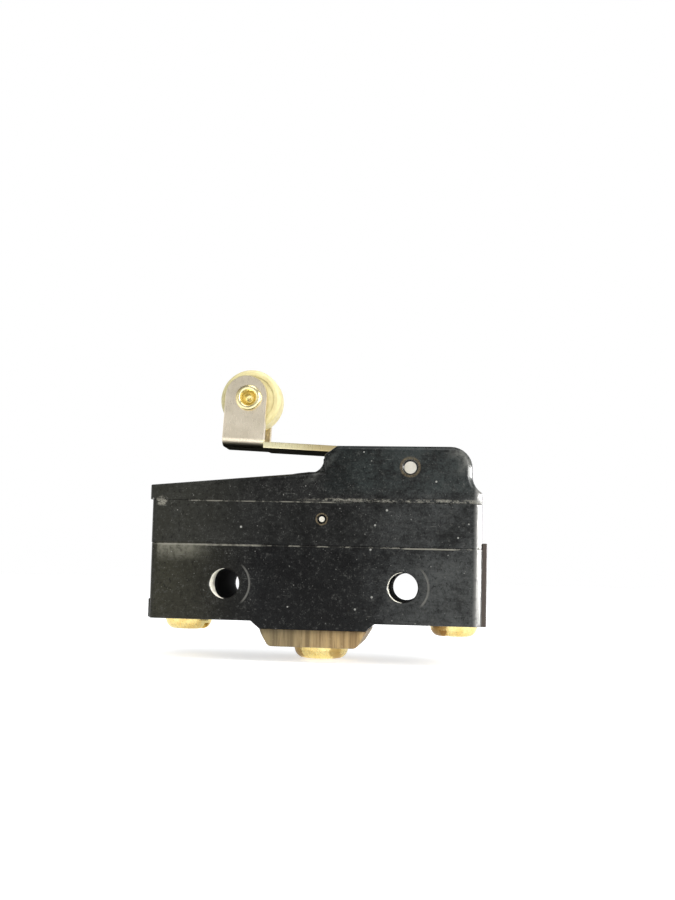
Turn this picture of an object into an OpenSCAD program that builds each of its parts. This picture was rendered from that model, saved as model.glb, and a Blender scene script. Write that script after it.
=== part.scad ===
// Large snap-action micro switch with a short hinge-roller lever and screw terminals.
// X runs along the case, Y through its thickness, Z up towards the roller.
// The origin is midway between the two mounting holes, on their centre line. Millimetres.

/* [Case] */
// Thickness of the case, from mounting face to mounting face
case_d = 17.45; // [16.9:0.05:18.4]
// Left end of the base
base_left = -23.8; // [-24.2:0.05:-23.4]
// Right end of the base, middle frame and top
case_right = 23.6; // [23.2:0.05:24.2]
// Underside of the base
base_bottom = -5.2; // [-5.8:0.1:-5.0]
// Parting line between base and middle frame
seam_low = 5.65; // [5.5:0.05:5.9]
// Parting line between middle frame and top
seam_high = 11.9; // [11.8:0.01:12.0]
// Height of the two cheeks above the mounting-hole line
cheek_top = 20.05; // [19.9:0.05:20.6]
// Fillet along the outer edges of the case
case_fillet = 1.0; // [0.5:0.1:1.2]

/* [Mounting holes] */
// Distance between the two mounting holes
hole_pitch = 25.4; // [25.0:0.1:25.8]
// Diameter of the mounting holes
hole_d = 4.2; // [4.0:0.1:4.4]
// Diameter of the flush pad round each hole
pad_d = 6.8; // [6.4:0.1:7.4]
// Width of the groove that rings the pad
groove_w = 0.3; // [0.2:0.05:0.4]
// Depth of that groove
groove_depth = 0.25; // [0.1:0.05:0.4]
// Chamfer at each mouth of the mounting holes
mouth = 0.15; // [0.1:0.05:0.4]

/* [Lever and roller] */
// Height of the pivot pin above the mounting-hole line
pivot_z = 17.0; // [16.9:0.1:17.2]
// Place of the pivot pin along the case
pivot_x = 13.45; // [13.3:0.05:13.6]
// Diameter of the pivot pin
pivot_d = 1.75; // [1.6:0.05:1.9]
// Slope of the free lever, rising to the roller, in degrees
lever_slope = 2.8; // [2.4:0.1:3.0]
// Sheet thickness of the lever
lever_t = 0.95; // [0.8:0.05:1.0]
// Width of the lever over its cheeks and ears
lever_w = 6.4; // [6.2:0.1:6.6]
// Distance from the pivot axis to the top of the strip
strip_top = 3.15; // [3.0:0.01:3.2]
// Diameter of the roller
roller_d = 9.2; // [9.0:0.1:9.8]
// Width of the roller
roller_w = 3.9; // [3.6:0.1:4.3]
// Distance along the strip from pivot to roller axis
roller_reach = 25.1; // [24.8:0.02:25.4]
// Height of the roller axis above the pivot, square to the strip
roller_rise = 9.6; // [9.4:0.005:9.8]

/* [Plunger] */
// Place of the plunger along the case
plunger_x = 7.9; // [7.6:0.1:8.2]
// Diameter of the plunger
plunger_d = 3.4; // [3.2:0.1:3.6]

/* [Terminals] */
// Distance of the two outer terminals from the middle of the case
terminal_x = 20.0; // [19.8:0.05:20.2]
// Place of the middle terminal
middle_x = 0.4; // [-0.2:0.1:0.6]
// Diameter of the middle terminal screw's head
middle_head_d = 8.1; // [7.6:0.1:8.2]
// Diameter of the two outer terminal screws' heads
outer_head_d = 7.0; // [6.6:0.1:7.4]
// Height of the terminal screw heads
head_h = 2.0; // [1.8:0.1:2.2]
// Underside of the brown block that carries the middle terminal
block_bottom = -8.8; // [-9.0:0.1:-8.6]

/* [Hidden] */
$fn = 48;

black = [0.13, 0.13, 0.12];
brown = [0.55, 0.42, 0.27];
brass = [0.85, 0.74, 0.42];
silver = [0.80, 0.80, 0.78];
steel = [0.76, 0.71, 0.62];
cream = [0.93, 0.90, 0.74];

// A cut runs past the face it opens on by this much
over = 0.2;
// Gap that stands for a sliding fit, on the radius
fit = 0.05;
half_d = case_d / 2;

// Case outline
top_left = -24.2;         // left end of the top
frame_left = -23.85;      // left end of the middle frame
foot_left = -24.1;        // foot at the lower left corner of the base
foot_height = 2.7;
rib_right = 24.35;        // rib on the right end of the base
rib_top = 6.45;           // top of the rib, which laps over the lower parting line
rib_gap = 0.05;           // gap between that lap and the middle frame
end_inset = 1.05;         // foot and rib stop this far inside the mounting faces
wedge_low = 14.1;         // height of the sloping roof at its left end
wedge_angle = 4.95;       // slope of the roof in degrees
cheek_left = 1.1;         // left wall of the cheeks
cheek_right = 22.2;       // right wall of the cheeks
chamfer_x = 2.95;         // where the cheeks' upper left chamfer meets their top
chamfer_z = 18.7;         // where it meets their left wall
corner_r = 3.1;           // round of the cheeks' upper right corner
left_fillet_r = 2.02;     // concave round from the roof up the cheeks' left wall
flare_z = 16.0;           // where the right wall starts to flare out
flare_r = 2.9;            // concave round of the flare
flare_turn = acos(1 - (case_right - cheek_right + 0.02) / flare_r);
flare_steps = 5;
plinth_z = -6.3;          // underside of the black plinth
plinth_half = 7.5;        // half its length there
plinth_root = 8.8;        // half its length where it leaves the base
slot_w = 7.0;             // gap between the cheeks
slot_floor = 16.0;        // floor of the gap
ear_floor = 14.4;         // deeper floor under the lever's ears
pin_recess = 0.7;         // the pivot pin's ends lie this far inside the mounting faces
pin_mouth_d = 2.15;       // widened mouth of its bore

// Cavity for the mechanism
cavity_x = 22.0;
cavity_y = 6.7;
cavity_floor = 4.8;
cavity_roof = 12.6;
collar_pocket_z = 14.2;   // roof of the pocket for the plunger's collar
collar_pocket_d = 6.2;

// Case screws
case_screw_x = 17.2;
case_screw_y = 6.0;
case_screw_d = 2.2;
case_head_d = 3.4;
case_head_z = 13.3;
case_screw_places = [for (sx = [-1, 1], sy = [-1, 1]) [sx * case_screw_x, sy * case_screw_y]];
boss_r = 2.6;

// Terminal stack: pocket, insert flange, washer, screw head, from the case outwards
flange_t = 0.5;
washer_t = 0.6;
outer_seat = base_bottom + 1.3;
middle_seat = block_bottom + 1.15;
insert_d = 5.2;
flange_d = 7.4;
pocket_d = 9.2;
thread_d = 4.0;
stud_d = 2.4;
thread_top = 3.0;
block_x = -0.1;           // middle of the brown block
block_half = 7.7;         // half its length at the top
block_inset = 1.1;        // its faces lie this far inside the mounting faces
block_corner_r = 0.9;

// Contact system
strip_t = 0.8;
strip_w = 4.4;
blade_z = 8.4;
blade_t = 0.25;
contact_x = -14.8;
contact_d = 3.0;
seat_x = 1.05;
seat_z = 9.42;
seat_pin_d = 0.8;
seat_mouth_d = 1.25;      // countersink of the cross pin's bore
tongue_root = -11.2;      // the blade's tongue runs from here
tongue_tip = seat_x - 0.3;
tongue_bow = 5.2;         // four times the height of its bow
anchor_edge = 15.3;
rivet_x = 16.5;
no_contact_top = 6.9;
nc_contact_low = 9.3;
nc_arm_z = nc_contact_low + 0.8;

// Lever
lever_under = strip_top - lever_t;
strip_left = -28.7;
bracket_right = -22.35;
ear_left = -4.6;          // front end of the ears
ear_r = 2.2;
bend_r = 1.3;             // outer radius of the sheet's bends
rivet_d = 3.0;

// The plunger's dome touches the strip, which is level with its apex but for the slope
dome_r = 1.9;
plunger_apex = pivot_z + dome_r - 0.02
    + (lever_under - dome_r + (pivot_x - plunger_x) * sin(lever_slope)) / cos(lever_slope);

// Points of an arc about c, from angle a0 to a1
function arc(c, r, a0, a1, n = 6) =
    [for (i = [0:n]) let (a = a0 + (a1 - a0) * i / n) [c[0] + r * cos(a), c[1] + r * sin(a)]];

// Rectangle with rounded corners
function round_rect(x0, x1, y0, y1, r, n = 6) = concat(
    arc([x1 - r, y1 - r], r, 0, 90, n), arc([x0 + r, y1 - r], r, 90, 180, n),
    arc([x0 + r, y0 + r], r, 180, 270, n), arc([x1 - r, y0 + r], r, 270, 360, n));

function roof_z(x) = wedge_low + (x - top_left) * tan(wedge_angle);

// Extrusion of an X-Z profile, centred on the case's mid plane
module along_y(depth) {
    rotate([90, 0, 0]) translate([0, 0, -depth / 2]) linear_extrude(depth) children();
}

// Extrusion of a Y-Z profile from x0 to x1
module along_x(x0, x1) {
    translate([x0, 0, 0]) rotate([90, 0, 90]) linear_extrude(x1 - x0) children();
}

// Round bar or bore along Y
module bar_y(x, z, d, length) {
    translate([x, 0, z]) rotate([90, 0, 0]) cylinder(d = d, h = length, center = true);
}

// Convex X-Z outline through the thickness of the case, with its front and back edges filleted
module filleted_slab(points, r, n = 6) {
    hull()
        for (i = [0:n])
            along_y(case_d - 2 * r * (1 - cos(90 * i / n)))
                offset(delta = -r * (1 - sin(90 * i / n)))
                    polygon(points);
}

// Plan of the cavity, with the four screw bosses left standing
module cavity_plan() {
    difference() {
        square([2 * cavity_x, 2 * cavity_y], center = true);
        for (p = case_screw_places)
            translate(p) circle(boss_r);
    }
}

// Pocket under the base for an outer terminal; side is -1 at the left end and 1 at the right
module terminal_pocket(side, seat) {
    height = seat - base_bottom + over;
    translate([side * terminal_x, 0, base_bottom - over]) {
        cylinder(d = pocket_d, h = height);
        translate([side * 4, 0, height / 2]) cube([8, pocket_d - 0.8, height], center = true);
        cylinder(d = insert_d, h = cavity_floor - base_bottom + 2 * over);
    }
}

// Through hole, chamfered at both mouths, with a ring groove round a flush pad on each face
module mounting_hole(x) {
    bar_y(x, 0, hole_d, case_d + 2);
    for (sy = [-1, 1])
        translate([x, sy * half_d, 0]) rotate([sy * 90, 0, 0]) {
            translate([0, 0, -over])
                cylinder(d1 = hole_d + 2 * (mouth + over), d2 = hole_d, h = mouth + over);
            difference() {
                translate([0, 0, -over])
                    cylinder(d = pad_d + 2 * groove_w, h = groove_depth + over);
                translate([0, 0, -1]) cylinder(d = pad_d, h = groove_depth + 2);
            }
        }
}

module screw_holes(d, z0, z1) {
    for (p = case_screw_places)
        translate([p[0], p[1], z0]) cylinder(d = d, h = z1 - z0);
}

module base_housing() color(black) {
    outline = [
        [base_left, seam_low], [base_left, base_bottom],
        [-plinth_root, base_bottom], [-plinth_half, plinth_z],
        [plinth_half, plinth_z], [plinth_root, base_bottom],
        [case_right, base_bottom], [case_right, seam_low]
    ];
    difference() {
        union() {
            intersection() {
                along_y(case_d) polygon(outline);
                translate([0, 0, plinth_z - 1])
                    linear_extrude(seam_low - plinth_z + 1)
                        polygon(round_rect(base_left, case_right, -half_d, half_d, case_fillet));
            }
            // Foot at the lower left and rib up the right end
            translate([foot_left, -half_d + end_inset, base_bottom + 0.1])
                cube([2, case_d - 2 * end_inset, foot_height]);
            along_y(case_d - 2 * end_inset)
                polygon([
                    [rib_right - 2, base_bottom], [rib_right, base_bottom], [rib_right, rib_top],
                    [case_right + rib_gap, rib_top], [case_right + rib_gap, seam_low],
                    [rib_right - 2, seam_low]
                ]);
        }
        for (sx = [-1, 1])
            mounting_hole(sx * hole_pitch / 2);
        // Shallow floor of the cavity
        translate([0, 0, cavity_floor])
            linear_extrude(seam_low - cavity_floor + over) cavity_plan();
        // Seats of the two outer inserts, open at the ends of the case for the wires
        terminal_pocket(-1, outer_seat);
        terminal_pocket(1, outer_seat);
        translate([middle_x, 0, plinth_z - over])
            cylinder(d = insert_d, h = cavity_floor - plinth_z + 2 * over);
        screw_holes(case_screw_d, -2.4, seam_low + over);
    }
}

module middle_frame() color(black) {
    height = seam_high - seam_low;
    difference() {
        translate([0, 0, seam_low])
            linear_extrude(height)
                polygon(round_rect(frame_left, case_right, -half_d, half_d, case_fillet));
        translate([0, 0, seam_low - over])
            linear_extrude(height + 2 * over) cavity_plan();
        bar_y(seat_x, seat_z, seat_pin_d, case_d + 2);
        for (sy = [-1, 1])
            translate([0, sy * half_d, 0]) bar_y(seat_x, seat_z, seat_mouth_d, 1.0);
        screw_holes(case_screw_d + 0.3, seam_low - over, seam_high + over);
    }
}

// Solid through rings of equally many corners, from the lowest ring up
module loft(rings) {
    n = len(rings[0]);
    last = (len(rings) - 1) * n;
    polyhedron(
        points = [for (ring = rings) each ring],
        faces = concat(
            [[for (k = [0:n - 1]) k]],
            [for (i = [0:len(rings) - 2], k = [0:n - 1])
                let (a = i * n + k, b = i * n + (k + 1) % n) [b, a, a + n, b + n]],
            [[for (k = [n - 1:-1:0]) last + k]]));
}

// Right end of the top: plan sections that narrow from the case end up the flare to the cheeks
module flared_end() {
    flare = [for (i = [flare_steps:-1:0]) let (a = 180 + flare_turn * i / flare_steps)
        [cheek_right - 0.02 + flare_r * (1 + cos(a)), flare_z + flare_r * sin(a)]];
    loft([for (p = concat([[flare[0][0], seam_high]], flare))
        [for (c = round_rect(cheek_right - 2.5, p[0], -half_d, half_d, case_fillet)) [c[0], c[1], p[1]]]]);
}

module top_housing() color(black) {
    below = 8;
    wedge_right = 4;
    wedge = [
        [top_left, seam_high - below], [wedge_right, seam_high - below],
        [wedge_right, roof_z(wedge_right)], [top_left, wedge_low]
    ];
    cheeks = concat(
        [[cheek_left, seam_high - below], [cheek_left, chamfer_z], [chamfer_x, cheek_top]],
        arc([cheek_right - corner_r, cheek_top - corner_r], corner_r, 90, 0, 8),
        [[cheek_right, seam_high - below]]);
    root = [cheek_left - 0.03 - left_fillet_r, roof_z(-1) + left_fillet_r - 0.03];
    left_fillet = concat(
        [[2.4, seam_high], [root[0] - 0.2, seam_high], [root[0] - 0.2, root[1] - left_fillet_r]],
        arc(root, left_fillet_r, 270, 360), [[2.4, root[1]]]);
    difference() {
        union() {
            intersection() {
                union() {
                    filleted_slab(wedge, case_fillet);
                    filleted_slab(cheeks, case_fillet);
                }
                translate([-30, -20, seam_high]) cube([60, 40, 20]);
            }
            // Concave fillet from the roof up the left wall of the cheeks
            intersection() {
                along_y(case_d) polygon(left_fillet);
                translate([0, 0, seam_high])
                    linear_extrude(10) polygon(round_rect(-2.6, 3.6, -7.9, 7.9, 1.5));
            }
            flared_end();
        }
        // Gap for the lever, deeper under its ears
        translate([-4, -slot_w / 2, slot_floor]) cube([40, slot_w, 10]);
        translate([pivot_x - 2.55, -slot_w / 2, ear_floor]) cube([6.0, slot_w, 10]);
        // Pivot bore, with its mouth opened out at both faces
        bar_y(pivot_x, pivot_z, pivot_d, case_d + 2);
        for (sy = [-1, 1])
            translate([0, sy * half_d, 0]) bar_y(pivot_x, pivot_z, pin_mouth_d, 2 * pin_recess);
        // Cavity, plunger bore and the pocket for the plunger's collar
        translate([0, 0, seam_high - over])
            linear_extrude(cavity_roof - seam_high + over) cavity_plan();
        translate([plunger_x, 0, seam_high - over]) {
            cylinder(d = plunger_d + 2 * fit, h = 10);
            cylinder(d = collar_pocket_d, h = collar_pocket_z - seam_high + over);
        }
        screw_holes(case_screw_d + 0.3, seam_high - over, case_head_z + over);
        screw_holes(case_head_d + 0.2, case_head_z, cheek_top + 1);
    }
    // Collar round the plunger, on the floor of the gap
    translate([plunger_x, 0, slot_floor - 0.01])
        difference() {
            cylinder(d = 5.6, h = 1.0);
            translate([0, 0, -1]) cylinder(d = plunger_d + 2 * fit, h = 3);
        }
}

module terminal_block() color(brown) {
    left = block_x - block_half;
    right = block_x + block_half;
    front = half_d - block_inset;
    corner_in = block_corner_r + 1.0;
    corner_z = block_bottom + block_corner_r;
    outline = concat(
        [[right, plinth_z], [left, plinth_z], [left, plinth_z - 0.2]],
        arc([left + corner_in, corner_z], block_corner_r, 205, 270, 4),
        arc([right - corner_in, corner_z], block_corner_r, 270, 335, 4),
        [[right, plinth_z - 0.2]]);
    difference() {
        intersection() {
            along_y(2 * front) polygon(outline);
            translate([0, 0, block_bottom - 1])
                linear_extrude(plinth_z - block_bottom + 1)
                    polygon(round_rect(left, right, -front, front, 0.8));
        }
        translate([middle_x, 0, block_bottom - over])
            cylinder(d = pocket_d, h = middle_seat - block_bottom + over);
        translate([middle_x, 0, block_bottom - 1]) cylinder(d = insert_d, h = 6);
    }
}

// Threaded brass insert: flange outside, bored for the screw, stud inside that takes the strip
module insert(x, seat) color(brass) {
    difference() {
        translate([x, 0, 0]) {
            translate([0, 0, seat - flange_t]) cylinder(d = flange_d, h = flange_t);
            translate([0, 0, seat - 0.1]) cylinder(d = insert_d, h = cavity_floor - seat + 0.1);
            translate([0, 0, cavity_floor - 0.1]) cylinder(d = stud_d, h = strip_t + 0.1);
            translate([0, 0, cavity_floor + strip_t]) cylinder(d1 = 3.2, d2 = 2.6, h = 0.4);
        }
        translate([x, 0, seat - flange_t - 1])
            cylinder(d = thread_d, h = thread_top - seat + flange_t + 1);
    }
}

// Slotted pan-head screw, head down
module terminal_screw(x, seat, head_d, turn) color(brass) {
    top = seat - flange_t - washer_t;
    r = head_d / 2;
    dome_in = 1.3;
    translate([x, 0, top])
        difference() {
            rotate_extrude()
                polygon(concat(
                    [[0, 7.0], [1.6, 7.0], [thread_d / 2 - fit, 6.6], [thread_d / 2 - fit, 0], [r - 0.1, 0],
                     [r, -0.1]],
                    [for (i = [0:6]) let (a = 90 * i / 6)
                        [r - dome_in * (1 - cos(a)), -0.3 - (head_h - 0.3) * sin(a)]],
                    [[0, -head_h]]));
            rotate([0, 0, turn])
                translate([0, 0, -head_h]) cube([2 * r + 1, 1.1, 2 * 0.9], center = true);
        }
}

// Lock washer with teeth round its rim
module lock_washer(x, seat) color(brass) {
    teeth = 12;
    translate([x, 0, seat - flange_t - washer_t])
        difference() {
            cylinder(d = 7.6, h = washer_t);
            translate([0, 0, -1]) cylinder(d = thread_d + 0.3, h = 3);
            for (i = [0:teeth - 1])
                rotate([0, 0, 360 * i / teeth])
                    translate([3.2, -0.35, -1]) cube([2, 0.7, 3]);
        }
}

module case_screw(i) color(steel) {
    translate([case_screw_places[i][0], case_screw_places[i][1], case_head_z])
        difference() {
            rotate_extrude()
                polygon(concat(
                    [[0, -15.4], [0.5, -15.4], [case_screw_d / 2, -14.6], [case_screw_d / 2, 0],
                     [case_head_d / 2, 0], [case_head_d / 2, 0.5]],
                    arc([case_head_d / 2 - 0.35, 0.5], 0.35, 15, 90, 3), [[0, 0.85]]));
            rotate([0, 0, 35 + 50 * i])
                translate([0, 0, 0.85]) cube([5, 0.5, 0.9], center = true);
        }
}

// Z-shaped bracket on the common insert that holds the root of the blade
module anchor_bracket() color(brass) {
    foot_z = cavity_floor;
    top_z = blade_z - blade_t / 2;
    outline = [
        [21.9, foot_z], [21.9, foot_z + strip_t], [17.9, foot_z + strip_t], [17.9, top_z],
        [anchor_edge, top_z], [anchor_edge, top_z - strip_t], [17.1, top_z - strip_t], [17.1, foot_z]
    ];
    difference() {
        along_y(strip_w) polygon(outline);
        translate([terminal_x, 0, 0]) cylinder(d = stud_d, h = 10);
        translate([rivet_x, 0, 0]) cylinder(d = 1.6, h = 10);
    }
}

module anchor_rivet() color(brass) {
    low = blade_z - blade_t / 2 - strip_t;
    high = blade_z + blade_t / 2 + 0.02;
    translate([rivet_x, 0, 0]) {
        translate([0, 0, low - 0.35]) cylinder(d = 1.0, h = 0.35 + 0.1);
        translate([0, 0, low]) cylinder(d = 1.5, h = high - low);
        translate([0, 0, high - 0.01]) cylinder(d1 = 2.8, d2 = 2.2, h = 0.5);
    }
}

// Block hung on the cross pin; the blade's tongue bears in its notch
module spring_seat() color(steel) {
    outline = concat(
        [[seat_x - 0.6, 7.2], [seat_x + 1.2, 7.2], [seat_x + 1.3, 9.3]],
        arc([seat_x, seat_z], 1.2, 0, 180, 8),
        [[seat_x - 1.0, 8.9], [seat_x - 0.55, 8.6], [seat_x - 0.18, 8.15], [seat_x - 0.55, 7.75]]);
    difference() {
        along_y(3.4) polygon(outline);
        bar_y(seat_x, seat_z, seat_pin_d, 10);
    }
}

module seat_pin() color(silver) {
    bar_y(seat_x, seat_z, seat_pin_d, case_d - 0.5);
}

module no_strip() color(brass) {
    difference() {
        translate([contact_x - 1.8, -strip_w / 2, cavity_floor])
            cube([middle_x + 3.0 - contact_x + 1.8, strip_w, strip_t]);
        translate([middle_x, 0, 0]) cylinder(d = stud_d, h = 10);
        translate([contact_x, 0, 0]) cylinder(d = 1.6, h = 10);
    }
}

module nc_strip() color(brass) {
    outline = [
        [-21.9, cavity_floor], [-17.5, cavity_floor], [-17.5, nc_arm_z], [-13.0, nc_arm_z],
        [-13.0, nc_arm_z + strip_t], [-18.3, nc_arm_z + strip_t], [-18.3, cavity_floor + strip_t],
        [-21.9, cavity_floor + strip_t]
    ];
    difference() {
        along_y(strip_w) polygon(outline);
        translate([-terminal_x, 0, 0]) cylinder(d = stud_d, h = 7);
        translate([contact_x, 0, 8]) cylinder(d = 1.6, h = 5);
    }
}

// Contact rivet: domed head towards the blade, stem through the strip
module fixed_contact(face, back) color(silver) {
    dir = face > back ? 1 : -1;
    head = abs(face - back);
    translate([contact_x, 0, back]) scale([1, 1, dir])
        rotate_extrude()
            polygon([
                [0, -strip_t], [0.8, -strip_t], [0.8, 0], [contact_d / 2, 0],
                [contact_d / 2, head - 0.2], [contact_d / 2 - 0.5, head], [0, head]
            ]);
}

// Point of the bowed tongue at share s of its length, above height z
function tongue_point(s, z) =
    [tongue_root + (tongue_tip - tongue_root) * s, z - 0.2 * s + tongue_bow * s * (1 - s)];

// Spring strip: full width by the plunger, two legs either side of a bowed tongue, free end
module snap_blade() color(brass) {
    low = blade_z - blade_t / 2;
    leg = 3.2;
    plan = [
        [17.9, -2.2], [17.9, 2.2], [14.2, 2.2], [13.0, leg], [-11.5, leg],
        [contact_x - 1.8, 1.7], [contact_x - 1.8, -1.7], [-11.5, -leg], [13.0, -leg], [14.2, -2.2]
    ];
    tongue = concat(
        [for (i = [0:12]) tongue_point(i / 12, low)],
        [for (i = [12:-1:0]) tongue_point(i / 12, low + blade_t)]);
    translate([0, 0, low]) linear_extrude(blade_t)
        difference() {
            polygon(plan);
            translate([-11.0, -2.0]) square([14.0, 4.0]);
            translate([contact_x, 0]) circle(d = 1.7);
            translate([rivet_x, 0]) circle(d = 1.6);
        }
    along_y(2.6) polygon(tongue);
}

module moving_contact() color(silver) {
    low = blade_z - blade_t / 2;
    high = blade_z + blade_t / 2;
    r = contact_d / 2;
    face_low = 7.5;
    face_high = nc_contact_low - 0.02;
    translate([contact_x, 0, 0])
        rotate_extrude()
            polygon([
                [0, face_low], [r - 0.4, face_low], [r, face_low + 0.2], [r, low - 0.01],
                [0.8, low - 0.01], [0.8, high + 0.01], [r, high + 0.01],
                [r, face_high - 0.2], [r - 0.4, face_high], [0, face_high]
            ]);
}

module plunger() color(brown) {
    r = plunger_d / 2;
    tip = blade_z + blade_t / 2 + 0.02;
    edge = asin(r / dome_r);
    translate([plunger_x, 0, 0])
        rotate_extrude()
            polygon(concat(
                [[0, tip], [0.7, tip], [1.1, tip + 0.3], [1.1, 10.6], [2.7, 10.9], [2.7, 12.9], [r, 13.2]],
                arc([0, plunger_apex - dome_r], dome_r, 90 - edge, 90, 8)));
}

// The lever is drawn level about its pivot, then tilted to the free position
module in_lever_frame() {
    translate([pivot_x, 0, pivot_z]) rotate([0, lever_slope, 0]) children();
}

// Y-Z section of a channel folded from the sheet: web at the strip, walls going up or down
module channel_section(up, depth) {
    w = lever_w / 2;
    inner_r = bend_r - lever_t;
    outer = concat([[-w, depth]], arc([-w + bend_r, bend_r], bend_r, 180, 270, 5),
        arc([w - bend_r, bend_r], bend_r, 270, 360, 5), [[w, depth]]);
    cut = concat([[-w + lever_t, depth + 1]], arc([-w + bend_r, bend_r], inner_r, 180, 270, 4),
        arc([w - bend_r, bend_r], inner_r, 270, 360, 4), [[w - lever_t, depth + 1]]);
    translate([0, up ? lever_under : strip_top]) scale([1, up ? 1 : -1])
        difference() {
            polygon(outer);
            polygon(cut);
        }
}

module lever() color(steel) {
    axis = [-roller_reach, roller_rise];
    r = (bracket_right - strip_left) / 2;
    bracket = concat(
        [[strip_left, lever_under - 1], [bracket_right, lever_under - 1]],
        arc([strip_left + r, roller_rise + 0.25], r, 0, 180, 14));
    ears = concat([[ear_left, strip_top + 1], [ear_left, lever_under]], arc([0, 0], ear_r, 205, 360, 10),
        [[ear_r, strip_top + 1]]);
    in_lever_frame()
        difference() {
            union() {
                translate([strip_left, -1.8, lever_under])
                    cube([ear_r - strip_left, 3.6, lever_t]);
                translate([bracket_right, -lever_w / 2, lever_under])
                    cube([ear_left - bracket_right, lever_w, lever_t]);
                intersection() {
                    along_y(lever_w + 2) polygon(bracket);
                    along_x(strip_left - 1, bracket_right + 1) channel_section(true, 14);
                }
                intersection() {
                    along_y(lever_w + 2) polygon(ears);
                    along_x(ear_left - 0.4, ear_r + 1) channel_section(false, 9);
                }
            }
            bar_y(0, 0, pivot_d + 2 * fit, 20);
            bar_y(axis[0], axis[1], rivet_d, 20);
        }
}

module pivot_pin() color(silver) {
    bar_y(pivot_x, pivot_z, pivot_d, case_d - 2 * pin_recess);
}

// Moulded roller: raised rim and hub, shallow dish between them
module roller() color(cream) {
    w = roller_w / 2;
    r = roller_d / 2;
    half = concat(
        [[rivet_d / 2 + fit, w], [2.3, w], [2.5, w - 0.2], [r - 1.0, w - 0.2], [r - 0.8, w]],
        arc([r - 0.45, w - 0.45], 0.45, 90, 0, 4));
    profile = concat(half, [for (i = [len(half) - 1:-1:0]) [half[i][0], -half[i][1]]]);
    in_lever_frame()
        translate([-roller_reach, 0, roller_rise]) rotate([90, 0, 0])
            rotate_extrude() polygon(profile);
}

// Brass rivet through bracket and roller, both ends spread to a rolled flange round a dimple
module roller_rivet() color(brass) {
    w = lever_w / 2;
    rim_r = 1.95;
    half = concat(
        [[0, w - 1.2], [0.65, w - 1.15], [1.05, w - 0.6], [1.1, w + 0.25]],
        arc([1.45, w + 0.25], 0.35, 180, 90, 3), arc([rim_r - 0.4, w + 0.2], 0.4, 80, 0, 4),
        [[rim_r, w + 0.01], [rivet_d / 2, w + 0.01]]);
    profile = concat(half, [for (i = [len(half) - 1:-1:0]) [half[i][0], -half[i][1]]]);
    in_lever_frame()
        translate([-roller_reach, 0, roller_rise]) rotate([90, 0, 0])
            rotate_extrude() polygon(profile);
}

base_housing();
middle_frame();
top_housing();
terminal_block();
insert(terminal_x, outer_seat);  // common_insert
insert(middle_x, middle_seat);  // no_insert
insert(-terminal_x, outer_seat);  // nc_insert
terminal_screw(terminal_x, outer_seat, outer_head_d, 62);  // common_screw
terminal_screw(middle_x, middle_seat, middle_head_d, 15);  // no_screw
terminal_screw(-terminal_x, outer_seat, outer_head_d, -20);  // nc_screw
lock_washer(terminal_x, outer_seat);  // common_washer
lock_washer(middle_x, middle_seat);  // no_washer
lock_washer(-terminal_x, outer_seat);  // nc_washer
case_screw(0);  // case_screw_1
case_screw(1);  // case_screw_2
case_screw(2);  // case_screw_3
case_screw(3);  // case_screw_4
anchor_bracket();
anchor_rivet();
spring_seat();
seat_pin();
no_strip();
nc_strip();
fixed_contact(no_contact_top, cavity_floor + strip_t);  // no_contact
fixed_contact(nc_contact_low, nc_arm_z);  // nc_contact
snap_blade();
moving_contact();
plunger();
lever();
pivot_pin();
roller();
roller_rivet();
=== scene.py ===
import math

import bmesh
import bpy
import numpy as np
from mathutils import Matrix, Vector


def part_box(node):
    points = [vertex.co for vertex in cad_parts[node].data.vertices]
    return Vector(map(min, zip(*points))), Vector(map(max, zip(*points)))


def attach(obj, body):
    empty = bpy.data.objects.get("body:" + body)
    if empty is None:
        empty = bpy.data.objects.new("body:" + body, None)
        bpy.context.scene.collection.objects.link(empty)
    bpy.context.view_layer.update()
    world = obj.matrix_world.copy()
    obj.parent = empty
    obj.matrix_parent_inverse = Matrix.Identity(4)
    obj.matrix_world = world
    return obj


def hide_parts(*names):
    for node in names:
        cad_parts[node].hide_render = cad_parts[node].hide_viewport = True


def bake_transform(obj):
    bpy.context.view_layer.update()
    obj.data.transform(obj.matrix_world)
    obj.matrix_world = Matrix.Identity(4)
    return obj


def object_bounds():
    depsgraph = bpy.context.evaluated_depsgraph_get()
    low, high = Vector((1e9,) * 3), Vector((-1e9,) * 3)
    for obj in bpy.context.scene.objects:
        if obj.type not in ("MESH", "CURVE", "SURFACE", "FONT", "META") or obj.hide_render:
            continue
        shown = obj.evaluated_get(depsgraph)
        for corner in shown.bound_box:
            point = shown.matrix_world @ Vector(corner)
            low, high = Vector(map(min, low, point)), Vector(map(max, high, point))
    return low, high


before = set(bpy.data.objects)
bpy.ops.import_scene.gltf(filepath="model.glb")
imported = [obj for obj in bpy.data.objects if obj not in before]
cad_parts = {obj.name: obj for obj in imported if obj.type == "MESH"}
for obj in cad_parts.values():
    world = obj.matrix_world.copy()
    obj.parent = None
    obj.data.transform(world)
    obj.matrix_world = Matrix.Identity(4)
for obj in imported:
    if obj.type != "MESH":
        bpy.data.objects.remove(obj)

cad_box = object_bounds()

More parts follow.
